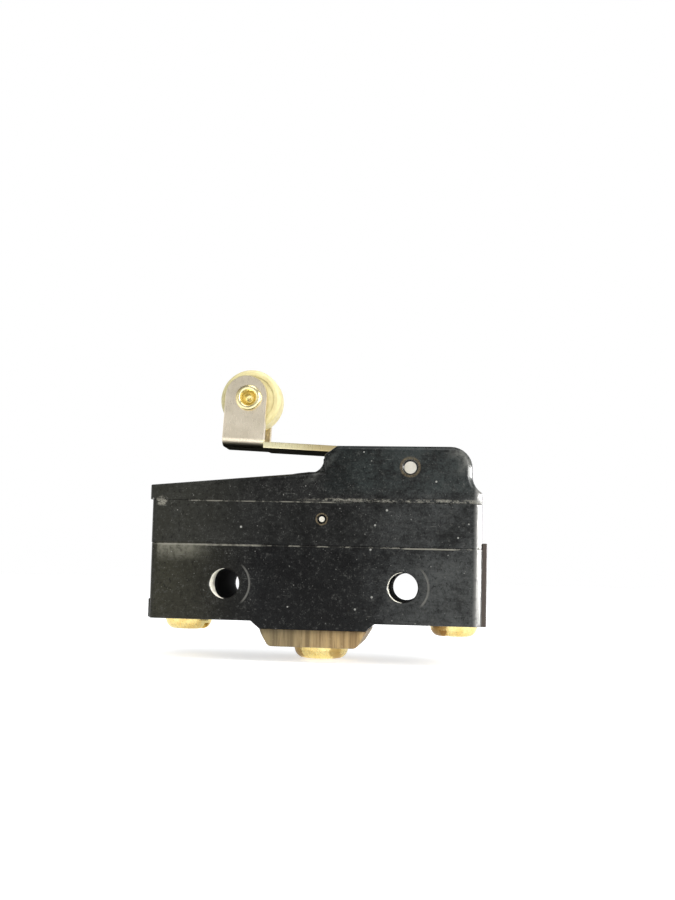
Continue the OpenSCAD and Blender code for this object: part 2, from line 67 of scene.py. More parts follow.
MM = 0.001
SEAM_LOW = 5.65      # parting line between base and middle layer, mm
SEAM_HIGH = 11.9     # parting line between middle layer and top, mm
ROLLER_AXIS = (-11.1511, 27.8147)   # x and z of the roller's axis, mm
PIVOT = (13.45, 17.0)               # x and z of the lever's pivot, mm
CROSS_PIN = (1.05, 9.42)            # x and z of the small cross pin, mm
HOLES = ((-12.7, 0.0), (12.7, 0.0))  # x and z of the two mounting holes, mm
HALF_DEPTH = 8.725                  # mounting faces lie this far from the middle, mm
CASE_RIGHT = 23.60                  # right end of the case, mm; the brown rib stands past it
RIB_FROM = 23.66                    # where the rib's brown begins, mm
CHEEK_CORNER = (19.4, 17.4)         # x and z of the middle of each cheek's rounded right corner, mm
HOLE_EDGE = (2.13, 2.17)            # just outside a mounting hole's wall, mm from its axis
PAD_ARC = 3.60                      # painted highlight: a pale arc on the edge of the pad, mm from the hole's axis
PAD_GROOVE = (3.3, 3.8)             # the ring groove lies between these, mm from the hole's axis
GROOVE_FLOOR = (0.2, 0.3)           # and its floor between these depths below the pad, mm
GROOVE_SHOWN = 0.07                 # depth to which the groove is worn level, mm
FLAT_WITHIN = math.radians(0.6)     # faces that turn less than this are one flat face
CREASE = math.radians(38)           # edges sharper than this keep a crisp line in the shading
EASED_FROM = math.radians(30)       # edges sharper than this are eased


# ---------------------------------------------------------------- camera

def place_camera(spot, turn, tilt, lean, lens, rise):
    """Camera at spot in mm, looking along +Y after a turn about Z, a tilt upwards and a lean about its own
    line of sight, all in degrees. Its axes are right, up and back: right and up are first level with the
    ground, then turned together by the lean. rise shifts the frame upwards, as a part of its height."""
    a, b, c = (math.radians(v) for v in (turn, tilt, lean))
    ahead = np.array([math.sin(a) * math.cos(b), math.cos(a) * math.cos(b), math.sin(b)])
    level = np.array([math.cos(a), -math.sin(a), 0.0])
    upright = np.cross(level, ahead)
    right = math.cos(c) * level + math.sin(c) * upright
    up = math.cos(c) * upright - math.sin(c) * level
    data = bpy.data.cameras.new("studio_camera")
    data.lens, data.sensor_width, data.shift_y = lens, 36.0, rise
    data.clip_start, data.clip_end = 0.01, 10.0
    camera = bpy.data.objects.new("studio_camera", data)
    bpy.context.collection.objects.link(camera)
    pose = np.eye(4)
    pose[:3, :3] = np.column_stack([right, up, -ahead])
    pose[:3, 3] = np.array(spot) * MM
    camera.matrix_world = Matrix(pose.tolist())
    bpy.context.scene.camera = camera


place_camera(
    spot=(17.39, -139.89, 1.65), turn=-6.14, tilt=3.89, lean=1.37, lens=37.348, rise=0.0677)


# ---------------------------------------------------------------- finishes

class Finish:
    """A procedural material. Every pattern is laid out in millimetres on Object coordinates."""

    def __init__(self, name, **sockets):
        self.material = bpy.data.materials.new(name)
        self.material.use_nodes = True
        self.tree = self.material.node_tree
        self.tree.nodes.clear()
        self.shader = self.add("ShaderNodeBsdfPrincipled")
        output = self.add("ShaderNodeOutputMaterial")
        self.tree.links.new(self.shader.outputs["BSDF"], output.inputs["Surface"])
        for socket, value in sockets.items():
            self.shader.inputs[socket.replace("_", " ")].default_value = value
        coordinates = self.add("ShaderNodeTexCoord")
        self.place = self.scaled(coordinates.outputs["Object"], 1 / MM)
        parts = self.add("ShaderNodeSeparateXYZ")
        self.tree.links.new(self.place, parts.inputs[0])
        self.x, self.y, self.z = parts.outputs

    def add(self, kind, **settings):
        node = self.tree.nodes.new(kind)
        for key, value in settings.items():
            setattr(node, key, value)
        return node

    def feed(self, socket, value):
        if isinstance(value, bpy.types.NodeSocket):
            self.tree.links.new(value, socket)
        else:
            socket.default_value = value

    def scaled(self, place, factor):
        node = self.add("ShaderNodeVectorMath", operation="SCALE")
        self.feed(node.inputs[0], place)
        node.inputs["Scale"].default_value = factor
        return node.outputs[0]

    def math(self, operation, first, second=0.0, clamp=False):
        node = self.add("ShaderNodeMath", operation=operation, use_clamp=clamp)
        self.feed(node.inputs[0], first)
        self.feed(node.inputs[1], second)
        return node.outputs[0]

    def turned(self, degrees=(0, 0, 0), stretch=(1, 1, 1)):
        """The millimetre coordinates, turned and stretched, so that a pattern can run along one direction."""
        node = self.add("ShaderNodeMapping")
        self.feed(node.inputs["Vector"], self.place)
        node.inputs["Rotation"].default_value = [math.radians(v) for v in degrees]
        node.inputs["Scale"].default_value = stretch
        return node.outputs[0]

    def noise(self, scale, detail, rough, where=None, warp=0.0):
        node = self.add("ShaderNodeTexNoise")
        self.feed(node.inputs["Vector"], where or self.place)
        for socket, value in (
                ("Scale", scale), ("Detail", detail), ("Roughness", rough), ("Distortion", warp)):
            node.inputs[socket].default_value = value
        return node.outputs["Fac"]

    def cells(self, scale):
        """Distance from the nearest of a scatter of points."""
        node = self.add("ShaderNodeTexVoronoi", feature="F1")
        self.feed(node.inputs["Vector"], self.place)
        node.inputs["Scale"].default_value = scale
        return node.outputs["Distance"]

    def step(self, value, low, high, start=0.0, end=1.0):
        """Smooth step: start below low, end above high."""
        node = self.add("ShaderNodeMapRange", interpolation_type="SMOOTHSTEP")
        self.feed(node.inputs["Value"], value)
        for socket, number in (("From Min", low), ("From Max", high), ("To Min", start), ("To Max", end)):
            node.inputs[socket].default_value = number
        return node.outputs["Result"]

    def near(self, value, centre, inside, outside):
        """1 within inside of centre, 0 beyond outside."""
        away = self.math("ABSOLUTE", self.math("SUBTRACT", value, centre))
        return self.step(away, inside, outside, 1.0, 0.0)

    def distance(self, axis):
        """Distance in mm from a line along Y through the point axis, given as x and z."""
        across = self.math("SUBTRACT", self.x, axis[0])
        above = self.math("SUBTRACT", self.z, axis[1])
        square = self.math("ADD", self.math("MULTIPLY", across, across), self.math("MULTIPLY", above, above))
        return self.math("SQRT", square)

    def both(self, *factors):
        result = factors[0]
        for factor in factors[1:]:
            result = self.math("MULTIPLY", result, factor)
        return result

    def blend(self, factor, first, second):
        node = self.add("ShaderNodeMix", data_type="RGBA")
        self.feed(node.inputs[0], factor)
        for socket, colour in ((node.inputs[6], first), (node.inputs[7], second)):
            self.feed(socket, colour if isinstance(colour, bpy.types.NodeSocket) else (*colour, 1.0))
        return node.outputs[2]

    def bump(self, height, depth, strength):
        """Raises the surface by depth mm where height is 1."""
        node = self.add("ShaderNodeBump")
        node.inputs["Strength"].default_value = strength
        node.inputs["Distance"].default_value = depth * MM
        self.feed(node.inputs["Height"], height)
        return node.outputs[0]

    def wear(self, colour, rough, normal):
        for socket, value in (("Base Color", colour), ("Roughness", rough), ("Normal", normal)):
            self.feed(self.shader.inputs[socket], value)
        return self.material


def phenolic_films(f, tone, mix, clouds, grain, flecks):
    """The films that lie over the bare black: olive at the left end, clear in the middle of the base, dusty
    grey to the right, a green tint on the cheeks, then pale and dark flecks all over."""
    olive = f.both(f.step(f.x, -23.0, -7.5, 1.0, 0.0), f.step(mix, 0.34, 0.66, 0.65, 1.0))
    tone = f.blend(olive, tone, (0.0350, 0.0335, 0.0220))
    upper_part = f.step(f.z, SEAM_LOW, SEAM_LOW + 0.3)
    middle = f.both(upper_part, f.step(f.x, -22.0, 3.0, 0.9, 0.25), f.step(mix, 0.34, 0.66, 0.4, 1.0))
    tone = f.blend(middle, tone, (0.0270, 0.0275, 0.0250))
    grey = f.both(f.step(f.x, 2.0, 17.0), f.step(mix, 0.38, 0.66, 0.10, 1.0))
    tone = f.blend(grey, tone, (0.0500, 0.0530, 0.0530))
    cheek = f.both(
        f.step(f.z, SEAM_HIGH + 0.4, SEAM_HIGH + 2.5), f.step(f.x, 0.0, 3.0), f.step(mix, 0.38, 0.64))
    tone = f.blend(f.both(cheek, 0.6), tone, (0.0220, 0.0320, 0.0310))
    haze = f.both(f.step(grain, 0.50, 0.74), f.step(clouds, 0.36, 0.66, 0.15, 1.0))
    tone = f.blend(f.both(haze, 0.5), tone, (0.0700, 0.0700, 0.0660))
    base = f.step(f.z, 3.0, 5.5, 1.0, 0.0)
    clear = f.both(f.step(f.x, -8.0, -3.0), f.step(f.x, 4.0, 10.0, 1.0, 0.0), base)
    tone = f.blend(f.both(clear, 0.55), tone, (0.0016, 0.0016, 0.0018))
    dusty = f.both(f.step(f.x, 8.0, 18.0), base, f.step(mix, 0.36, 0.62, 0.3, 1.0))
    tone = f.blend(f.both(dusty, 0.55), tone, (0.0800, 0.0840, 0.0820))
    tone = f.blend(f.both(f.step(flecks, 0.54, 0.70), 0.55), tone, (0.0800, 0.0800, 0.0750))
    tone = f.blend(f.both(f.step(flecks, 0.32, 0.46, 1.0, 0.0), 0.75), tone, (0.0020, 0.0020, 0.0022))
    return tone


def phenolic_wear(f, tone, mottle):
    """Pale bloom below the lower parting line at the left end, paler marks along the cheeks' rounded right
    corners and their left chamfer, and a painted sheen on the case's right front and back corners."""
    bloom = f.both(
        f.step(f.z, 2.6, 5.3), f.step(f.z, SEAM_LOW - 0.1, SEAM_LOW, 1.0, 0.0), f.step(f.x, -22.9, -22.5),
        f.step(f.x, -19.5, -14.0, 1.0, 0.0), f.step(mottle, 0.30, 0.62, 0.25, 1.0))
    tone = f.blend(bloom, tone, (0.175, 0.170, 0.135))
    # paler along the cheeks' rounded right corners and along their left chamfer
    corner = f.both(
        f.near(f.distance(CHEEK_CORNER), 2.0, 0.2, 1.5), f.step(f.x, 18.0, 20.5), f.step(f.z, 15.5, 17.5))
    chamfer = f.both(f.near(f.math("SUBTRACT", f.z, f.x), 15.7, 0.25, 1.0), f.step(f.x, 0.8, 4.2, 1.0, 0.0))
    pale_corners = f.both(f.math("MAXIMUM", corner, f.both(chamfer, 0.45)), f.step(mottle, 0.34, 0.60, 0.2, 1.0))
    tone = f.blend(f.both(pale_corners, f.step(f.z, 14.0, 15.5)), tone, (0.110, 0.112, 0.104))
    depth = f.math("ABSOLUTE", f.y)
    # painted sheen: a pale band on the right front and back corner fillets
    corner_sheen = f.both(
        f.step(f.x, 22.3, 22.9), f.step(f.x, CASE_RIGHT, RIB_FROM, 1.0, 0.0),
        f.step(depth, 7.75, 8.05), f.step(f.z, 13.5, 15.5, 1.0, 0.0),
        f.step(mottle, 0.25, 0.50, 0.5, 1.0))
    tone = f.blend(corner_sheen, tone, (0.200, 0.198, 0.190))
    return tone


def seam_dust(f, crumbs, breaks, mottle):
    """How much dust lies along the parting lines: crumbs at the right of the upper one, a small heap at its
    left end, and thin broken lines elsewhere."""
    ragged = f.math("SUBTRACT", f.z, f.math("MULTIPLY", crumbs, 0.5))
    heavy = f.both(
        f.near(ragged, SEAM_HIGH - 0.02, 0.05, 0.38), f.step(f.x, -4.0, 3.5),
        f.step(crumbs, 0.45, 0.60))
    light = f.both(
        f.near(f.z, SEAM_HIGH - 0.07, 0.04, 0.13), f.step(f.x, -19.0, -17.0), f.step(f.x, 3.0, 6.0, 1.0, 0.0),
        f.step(breaks, 0.42, 0.52, 0.12, 0.85))
    lower = f.both(
        f.near(f.z, SEAM_LOW - 0.16, 0.06, 0.20), f.step(f.x, -9.0, -6.0, 1.0, 0.0),
        f.step(f.x, -22.8, -21.6, 0.3, 1.0), f.step(mottle, 0.36, 0.58, 0.35, 1.0))
    lower_right = f.both(
        f.near(f.z, SEAM_LOW - 0.14, 0.03, 0.13), f.step(f.x, -8.0, -5.0),
        f.step(breaks, 0.50, 0.58, 0.05, 0.8))
    scratch = f.both(f.near(f.z, SEAM_LOW - 0.20, 0.05, 0.13), f.near(f.x, 16.3, 3.2, 4.1))
    heap = f.both(
        f.near(f.x, -22.3, 0.4, 1.0), f.near(f.z, SEAM_HIGH - 0.2, 0.3, 0.85), f.step(crumbs, 0.49, 0.57))
    heap = f.math("MULTIPLY", heap, 1.3, clamp=True)
    dust = heavy
    for more in (light, lower, lower_right, scratch, heap):
        dust = f.math("MAXIMUM", dust, more)
    return dust


def specks_and_scratches(f, tone, breaks):
    """Dust specks, from rare and large to small and many, then hairline scratches in two directions. Returns
    the colour and the specks."""
    specks = f.step(f.cells(0.33), 0.040, 0.062, 1.0, 0.0)
    for scale, size, amount in ((0.75, 0.085, 0.55), (1.6, 0.12, 0.35)):
        layer = f.both(f.step(f.cells(scale), 0.6 * size, size, 1.0, 0.0), f.step(breaks, 0.42, 0.60))
        specks = f.math("MAXIMUM", specks, f.both(layer, amount))
    tone = f.blend(f.both(specks, 0.7), tone, (0.420, 0.420, 0.390))
    level = f.noise(2.6, 2, 0.6, where=f.turned((0, 4, 0), (0.05, 1, 1.4)))
    steep = f.noise(2.4, 2, 0.6, where=f.turned((0, 58, 0), (0.09, 1, 1.5)))
    hair = f.math("MAXIMUM", f.step(level, 0.70, 0.75), f.step(steep, 0.70, 0.75))
    hair = f.both(hair, f.step(breaks, 0.45, 0.6))
    tone = f.blend(f.both(hair, 0.35), tone, (0.190, 0.190, 0.175))
    return tone, specks


def pin_rings(f, tone, grain):
    """Rings worn round the pivot pin and the cross pin."""
    for pin, ring, wide, amount in ((PIVOT, 1.30, 0.28, 0.55), (CROSS_PIN, 0.78, 0.14, 0.75)):
        worn = f.both(f.near(f.distance(pin), ring, 0.05, wide), f.step(grain, 0.38, 0.58, 0.35, 1.0))
        tone = f.blend(f.both(worn, amount), tone, (0.185, 0.145, 0.085))
    return tone


def hole_marks(f, tone, shine):
    """Mounting holes with painted shade, nearly black, in the bores, a painted highlight as a pale lip on the
    left of each mouth, and a painted highlight as an arc on the pad's edge. Returns the colour, and the dull
    places with the bores added."""
    lip_depth = 2.9     # how far the painted lit lip reaches into the bore at its widest, mm
    depth = f.math("ADD", f.y, HALF_DEPTH)
    for hole in HOLES:
        radius = f.distance(hole)
        side = f.math("DIVIDE", f.math("SUBTRACT", f.x, hole[0]), radius)
        # painted highlight: a pale arc on the right side of the pad's edge
        arc_highlight = f.both(f.near(radius, PAD_ARC, 0.06, 0.20), f.step(side, 0.60, 0.85))
        tone = f.blend(f.both(arc_highlight, 0.8), tone, (0.180, 0.176, 0.160))
        # painted shade: the bore is painted nearly black
        inside = f.step(radius, *HOLE_EDGE, 1.0, 0.0)
        tone = f.blend(f.both(inside, 0.97), tone, (0.0008, 0.0008, 0.0008))
        # painted light: a pale patch on the left wall near the mouth, as if lit from the right
        lit = f.math("SUBTRACT", f.math("MULTIPLY", side, -lip_depth), depth)
        lip_highlight = f.both(inside, f.step(lit, -0.10, 0.25))
        tone = f.blend(lip_highlight, tone, (0.900, 0.870, 0.760))
        shine = f.math("MAXIMUM", shine, inside)
    return tone, shine


def phenolic(name):
    """Black moulded phenolic: soft clouds and fine grain under films, wear and painted sheen, dust and
    specks, painted light and shade in the mounting holes, and a brown face on the rib past the case's right
    end."""
    f = Finish(name, Metallic=0.0, IOR=1.5, Specular_IOR_Level=0.13)
    clouds = f.noise(0.30, 4, 0.55, warp=0.3)
    mottle = f.noise(1.15, 5, 0.62)
    grain = f.noise(4.5, 4, 0.65)
    flecks = f.noise(1.9, 4, 0.80)
    brushed = f.noise(1.0, 4, 0.65, where=f.turned((0, 74, 0), (0.5, 1.0, 2.6)))
    crumbs = f.noise(2.0, 6, 0.80, where=f.turned(stretch=(0.7, 1, 1.1)))
    breaks = f.noise(0.55, 4, 0.75)
    mix = f.math("ADD", f.math("MULTIPLY", clouds, 0.32), f.math("MULTIPLY", mottle, 0.26))
    mix = f.math("ADD", mix, f.math("MULTIPLY", brushed, 0.20))
    mix = f.math("ADD", mix, f.math("MULTIPLY", grain, 0.22))
    tone = f.blend(f.step(mix, 0.36, 0.68), (0.0016, 0.0016, 0.0018), (0.0110, 0.0114, 0.0118))
    tone = phenolic_films(f, tone, mix, clouds, grain, flecks)
    tone = phenolic_wear(f, tone, mottle)
    dust = seam_dust(f, crumbs, breaks, mottle)
    tone = f.blend(f.both(dust, 0.85), tone, (0.250, 0.240, 0.200))
    tone, specks = specks_and_scratches(f, tone, breaks)
    tone = pin_rings(f, tone, grain)
    rib = f.both(f.step(f.x, RIB_FROM, RIB_FROM + 0.08), 0.9)
    tone = f.blend(rib, tone, (0.085, 0.068, 0.058))
    tone, shine = hole_marks(f, tone, specks)
    rough = f.math("ADD", f.step(mix, 0.35, 0.65, 0.19, 0.28), f.math("MULTIPLY", dust, 0.45))
    rough = f.math("ADD", rough, f.math("MULTIPLY", shine, 0.75), clamp=True)
    height = f.math("ADD", f.math("MULTIPLY", grain, 0.5), f.math("MULTIPLY", mottle, 0.5))
    height = f.math("ADD", height, f.math("MULTIPLY", f.math("MAXIMUM", specks, dust), 1.5))
    return f.wear(tone, rough, f.bump(height, 0.012, 0.4))


def laminate(name):
    """Brown insulating block: grain running up and down in strips, with darker fibres and a waxy gloss."""
    f = Finish(name, Metallic=0.0, IOR=1.5, Specular_IOR_Level=0.4)
    strips = f.noise(1.0, 3, 0.6, where=f.turned(stretch=(1.35, 1.35, 0.05)))
    fibres = f.noise(5.0, 3, 0.7, where=f.turned(stretch=(1.0, 1.0, 0.06)))
    fleck = f.noise(2.2, 4, 0.7)
    side = f.step(f.x, -7.0, 6.5)
    low = f.blend(side, (0.150, 0.112, 0.056), (0.250, 0.160, 0.066))
    high = f.blend(side, (0.310, 0.240, 0.125), (0.520, 0.360, 0.165))
    tone = f.blend(f.step(strips, 0.36, 0.64), low, high)
    tone = f.blend(f.both(f.step(fibres, 0.54, 0.72), 0.55), tone, (0.110, 0.066, 0.028))
    tone = f.blend(f.both(f.step(fleck, 0.58, 0.74), 0.4), tone, (0.500, 0.410, 0.240))
    rough = f.step(strips, 0.3, 0.7, 0.42, 0.58)
    return f.wear(tone, rough, f.bump(fibres, 0.03, 0.5))


def rolled_metal(name, clean, deep, rough_low, rough_high, along=(0.05, 1, 1), tarnish=0.35, bump=0.004):
    """Sheet or turned metal: base colour drifting between clean and deep, fine lines along one direction,
    dull spots where it has tarnished."""
    f = Finish(name, Metallic=1.0)
    drift = f.noise(0.35, 4, 0.6)
    lines = f.noise(14.0, 2, 0.6, where=f.turned(stretch=along))
    spots = f.step(f.noise(2.3, 5, 0.7), 0.55, 0.75)
    tone = f.blend(f.step(drift, 0.35, 0.68), clean, deep)
    tone = f.blend(f.both(spots, tarnish), tone, tuple(0.55 * c for c in deep))
    rough = f.math("ADD", f.step(lines, 0.3, 0.7, rough_low, rough_high), f.math("MULTIPLY", spots, 0.12))
    return f.wear(tone, rough, f.bump(lines, bump, 0.5))


def screw_brass(name):
    """Terminal screws and washers: bright yellow brass with turned lines, and painted shade in ragged brown
    patches
    on the sides of the heads: strongest on the left of the right one, then on both sides of the middle one."""
    f = Finish(name, Metallic=1.0)
    drift = f.noise(0.5, 4, 0.6)
    lines = f.noise(6.0, 3, 0.6, where=f.turned(stretch=(1, 1, 0.25)))
    tone = f.blend(f.step(drift, 0.35, 0.68), (0.900, 0.780, 0.360), (0.780, 0.580, 0.210))
    # painted shade: ragged brown patches darken the left sides of the heads, and the right side of the middle
    # one
    ragged = f.math("ADD", f.x, f.math("MULTIPLY", f.noise(1.1, 4, 0.7), 2.4))
    painted_shade = f.both(f.step(ragged, 17.6, 18.2), f.step(ragged, 19.9, 20.5, 1.0, 0.0))
    # x in mm where each further patch of painted shade starts and ends, and its strength
    for start, end, amount in ((-3.8, -0.6, 0.9), (-23.6, -21.9, 0.6), (3.2, 5.2, 0.7)):
        patch = f.both(f.step(ragged, start, start + 0.4), f.step(ragged, end - 0.5, end, 1.0, 0.0), amount)
        painted_shade = f.math("MAXIMUM", painted_shade, patch)
    tone = f.blend(painted_shade, tone, (0.330, 0.200, 0.065))
    spots = f.step(f.noise(2.3, 5, 0.7), 0.52, 0.68)
    tone = f.blend(f.both(spots, 0.55), tone, (0.520, 0.360, 0.130))
    rough = f.math("ADD", f.step(lines, 0.3, 0.7, 0.22, 0.34), f.math("MULTIPLY", painted_shade, 0.12))
    return f.wear(tone, rough, f.bump(lines, 0.01, 0.5))


def lever_plating(name):
    """Warm plated sheet: fine rolling lines along the strip, yellower where it runs towards the case, and
    painted
    shade on faces turned downwards: a dark colour and a dark gloss tint, with a duller finish."""
    f = Finish(name, Metallic=1.0)
    drift = f.noise(0.35, 4, 0.6)
    lines = f.noise(10.0, 2, 0.6, where=f.turned(stretch=(1, 1, 0.06)))
    tone = f.blend(f.step(drift, 0.35, 0.68), (0.880, 0.785, 0.630), (0.770, 0.685, 0.535))
    strip = f.both(f.step(f.x, -9.6, -8.6), f.step(f.z, 21.35, 21.6, 1.0, 0.0))
    yellow = f.blend(f.step(f.x, -7.0, 1.0), (1.000, 0.930, 0.600), (0.680, 0.560, 0.300))
    tone = f.blend(strip, tone, yellow)
    stains = f.step(f.noise(1.9, 5, 0.7), 0.55, 0.75)
    tone = f.blend(f.both(stains, 0.3), tone, (0.480, 0.420, 0.320))
    # painted shade: faces whose world normal points down are darkened, in colour and in the gloss's edge tint
    facing = f.add("ShaderNodeSeparateXYZ")
    f.tree.links.new(f.add("ShaderNodeNewGeometry").outputs["Normal"], facing.inputs[0])
    underside_shade = f.step(facing.outputs["Z"], -0.85, -0.25, 1.0, 0.0)
    tone = f.blend(f.both(underside_shade, 0.97), tone, (0.040, 0.037, 0.024))
    f.feed(f.shader.inputs["Specular Tint"], f.blend(underside_shade, (1.0, 1.0, 1.0), (0.10, 0.09, 0.06)))
    rough = f.math("ADD", f.step(lines, 0.3, 0.7, 0.26, 0.36), f.math("MULTIPLY", underside_shade, 0.25))
    return f.wear(tone, rough, f.bump(f.both(lines, f.step(f.x, -9.6, -8.6, 1.0, 0.1)), 0.003, 0.4))


def nylon(name):
    """Cream roller: slightly waxy, warmer and dirtier near the axle, faint turned rings."""
    f = Finish(name, Metallic=0.0, IOR=1.5, Specular_IOR_Level=0.45)
    radius = f.distance(ROLLER_AXIS)
    drift = f.noise(0.5, 4, 0.6)
    tone = f.blend(f.step(drift, 0.35, 0.7), (0.790, 0.720, 0.390), (0.700, 0.605, 0.310))
    tone = f.blend(f.step(radius, 1.9, 3.2, 0.45, 0.0), tone, (0.560, 0.440, 0.200))
    grime = f.both(f.step(f.noise(1.7, 5, 0.7), 0.56, 0.76), 0.35)
    tone = f.blend(grime, tone, (0.480, 0.400, 0.230))
    rings = f.math("SINE", f.math("MULTIPLY", radius, 21.0))
    rough = f.step(drift, 0.3, 0.7, 0.34, 0.5)
    return f.wear(tone, rough, f.bump(rings, 0.006, 0.5))


def brown_moulding(name):
    """Plunger: brown phenolic with a fine dark mottle."""
    f = Finish(name, Metallic=0.0, IOR=1.5, Specular_IOR_Level=0.45)
    mottle = f.noise(2.2, 4, 0.65)
    tone = f.blend(f.step(mottle, 0.35, 0.7), (0.070, 0.030, 0.014), (0.150, 0.068, 0.030))
    return f.wear(tone, f.step(mottle, 0.3, 0.7, 0.28, 0.42), f.bump(mottle, 0.01, 0.4))


FINISHES = {
    "black_phenolic": phenolic("black_phenolic"),
    "brown_laminate": laminate("brown_laminate"),
    "terminal_brass": rolled_metal("terminal_brass", (0.82, 0.66, 0.30), (0.66, 0.46, 0.17), 0.26, 0.38),
    "screw_brass": screw_brass("screw_brass"),
    "rivet_brass": rolled_metal(
        "rivet_brass", (0.92, 0.82, 0.48), (0.74, 0.60, 0.26), 0.18, 0.30, along=(1, 0.1, 1), tarnish=0.3),
    "lever_steel": lever_plating("lever_steel"),
    "plain_steel": rolled_metal(
        "plain_steel", (0.97, 0.94, 0.84), (0.84, 0.80, 0.68), 0.30, 0.42, tarnish=0.2),
    "contact_silver": rolled_metal("contact_silver", (0.90, 0.89, 0.86), (0.70, 0.69, 0.66), 0.22, 0.34),
    "spring_bronze": rolled_metal("spring_bronze", (0.80, 0.52, 0.30), (0.62, 0.36, 0.18), 0.22, 0.32),
    "plunger_brown": brown_moulding("plunger_brown"),
    "roller_nylon": nylon("roller_nylon"),
}

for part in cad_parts.values():
    for place in part.material_slots:
        slot = place.material.name.split(".")[0] if place.material else ""
        place.material = FINISHES.get(slot, place.material)


# ---------------------------------------------------------------- shapes

def show(name, mesh, finish):
    """A mesh with one finish, as an object at the origin."""
    mesh.materials.clear()
    mesh.materials.append(FINISHES[finish])
    piece = bpy.data.objects.new(name, mesh)
    bpy.context.collection.objects.link(piece)
    return piece


def soften(shape):
    """Smooth shading, with a crisp line along every edge sharper than CREASE."""
    for face in shape.faces:
        face.smooth = True
    for edge in shape.edges:
        edge.smooth = not edge.is_manifold or edge.calc_face_angle(0.0) < CREASE


def stand_in(piece, node, body):
    """The piece is shown in a CAD node's place, which is hidden, and moves with that body."""
    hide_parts(node)
    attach(piece, body)


def turned_part(name, profile, axis, finish, body, node):
    """A part turned on a lathe about a line along Y through axis (x and z, mm). The profile is a closed row
    of (radius, y) corners. A point is at angle t: x = axis x + radius * cos t, z = axis z + radius * sin t,
    y = profile y. The grid closes on itself both ways."""
    around = 128
    radius, along = (np.array(v, float)[None, :] for v in zip(*profile))
    turn = np.linspace(0, 2 * np.pi, around, endpoint=False)[:, None]
    grid = np.stack([
        axis[0] + radius * np.cos(turn), along + 0 * turn, axis[1] + radius * np.sin(turn)], axis=-1)
    rows, columns = grid.shape[:2]
    i, j = np.meshgrid(np.arange(rows), np.arange(columns), indexing="ij")
    ni, nj = (i + 1) % rows, (j + 1) % columns
    quads = np.stack([i * columns + j, ni * columns + j, ni * columns + nj, i * columns + nj], axis=-1)
    mesh = bpy.data.meshes.new(name)
    mesh.from_pydata((grid.reshape(-1, 3) * MM).tolist(), [], quads.reshape(-1, 4).tolist())
    shape = bmesh.new()
    shape.from_mesh(mesh)
    bmesh.ops.remove_doubles(shape, verts=shape.verts, dist=1e-6)
    bmesh.ops.dissolve_degenerate(shape, edges=shape.edges, dist=1e-7)
    bmesh.ops.recalc_face_normals(shape, faces=shape.faces)
    soften(shape)
    shape.to_mesh(mesh)
    shape.free()
    stand_in(show(name, mesh, finish), node, body)


def rounded(corners, radius):
    """Corners of a closed profile, each replaced by a short arc: a quadratic curve from the point radius
    before the corner to the point radius after it, with the corner as its control point. Each arc has five
    points."""
    corners = np.array(corners, float)
    result = []
    for before, corner, after in zip(np.roll(corners, 1, 0), corners, np.roll(corners, -1, 0)):
        reach = [min(radius, 0.45 * np.linalg.norm(p - corner)) for p in (before, after)]
        start, end = (
            corner + (p - corner) / np.linalg.norm(p - corner) * r for p, r in zip((before, after), reach))
        t = np.linspace(0, 1, 5)[:, None]
        result.append((1 - t) ** 2 * start + 2 * t * (1 - t) * corner + t ** 2 * end)
    return np.vstack(result).tolist()


def both_sides(half_profile):
    """A profile given on the +y side only, closed by its mirror image on the -y side."""
    return half_profile + [(radius, -y) for radius, y in reversed(half_profile)]


def near_hole(point, low, high):
    """Whether a point in metres lies between two distances in mm from either mounting hole's axis."""
    return any(low < math.hypot(point[0] / MM - x, point[2] / MM - z) < high for x, z in HOLES)


def eased(node, finish, body, width):
    """Stands for a CAD node: the same shape with its triangles merged, flat faces joined, and its sharp edges
    eased to a small round of the given width in mm. Round the mounting holes the pad's groove is worn nearly
    level and the mouths keep their crisp chamfer. Where an easing runs out past the node's own box, on edges
    shorter than it is wide, it is held to the box."""
    mesh = bpy.data.meshes.new(node + "_eased")
    shape = bmesh.new()
    shape.from_mesh(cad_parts[node].data)
    bmesh.ops.remove_doubles(shape, verts=shape.verts, dist=2e-6)
    bmesh.ops.dissolve_limit(
        shape, angle_limit=FLAT_WITHIN, verts=shape.verts, edges=shape.edges, delimit={"NORMAL"})
    for point in shape.verts:
        deep = HALF_DEPTH - abs(point.co[1]) / MM
        if GROOVE_FLOOR[0] < deep < GROOVE_FLOOR[1] and near_hole(point.co, *PAD_GROOVE):
            point.co[1] = math.copysign((HALF_DEPTH - GROOVE_SHOWN) * MM, point.co[1])
    sharp = [
        e for e in shape.edges if e.is_manifold and e.calc_face_angle(0.0) > EASED_FROM
        and not near_hole(e.verts[0].co, 0.0, PAD_GROOVE[1])]
    bmesh.ops.bevel(
        shape, geom=sharp, offset=width * MM, offset_type="OFFSET", segments=2, profile=0.5,
        affect="EDGES", clamp_overlap=False, loop_slide=True)
    low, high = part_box(node)
    for point in shape.verts:
        point.co = [min(max(value, a), b) for value, a, b in zip(point.co, low, high)]
    soften(shape)
    shape.to_mesh(mesh)
    shape.free()
    piece = show(node + "_eased", mesh, finish)
    weighted = piece.modifiers.new("weighted", "WEIGHTED_NORMAL")
    weighted.keep_sharp = True
    stand_in(piece, node, body)


for node, finish, body, width in (
        ("base_housing", "black_phenolic", "case", 0.12),
        ("middle_frame", "black_phenolic", "case", 0.10),
        ("top_housing", "black_phenolic", "case", 0.12),
        ("terminal_block", "brown_laminate", "case", 0.15),
        ("lever", "lever_steel", "lever_arm", 0.10)):
    eased(node, finish, body, width)


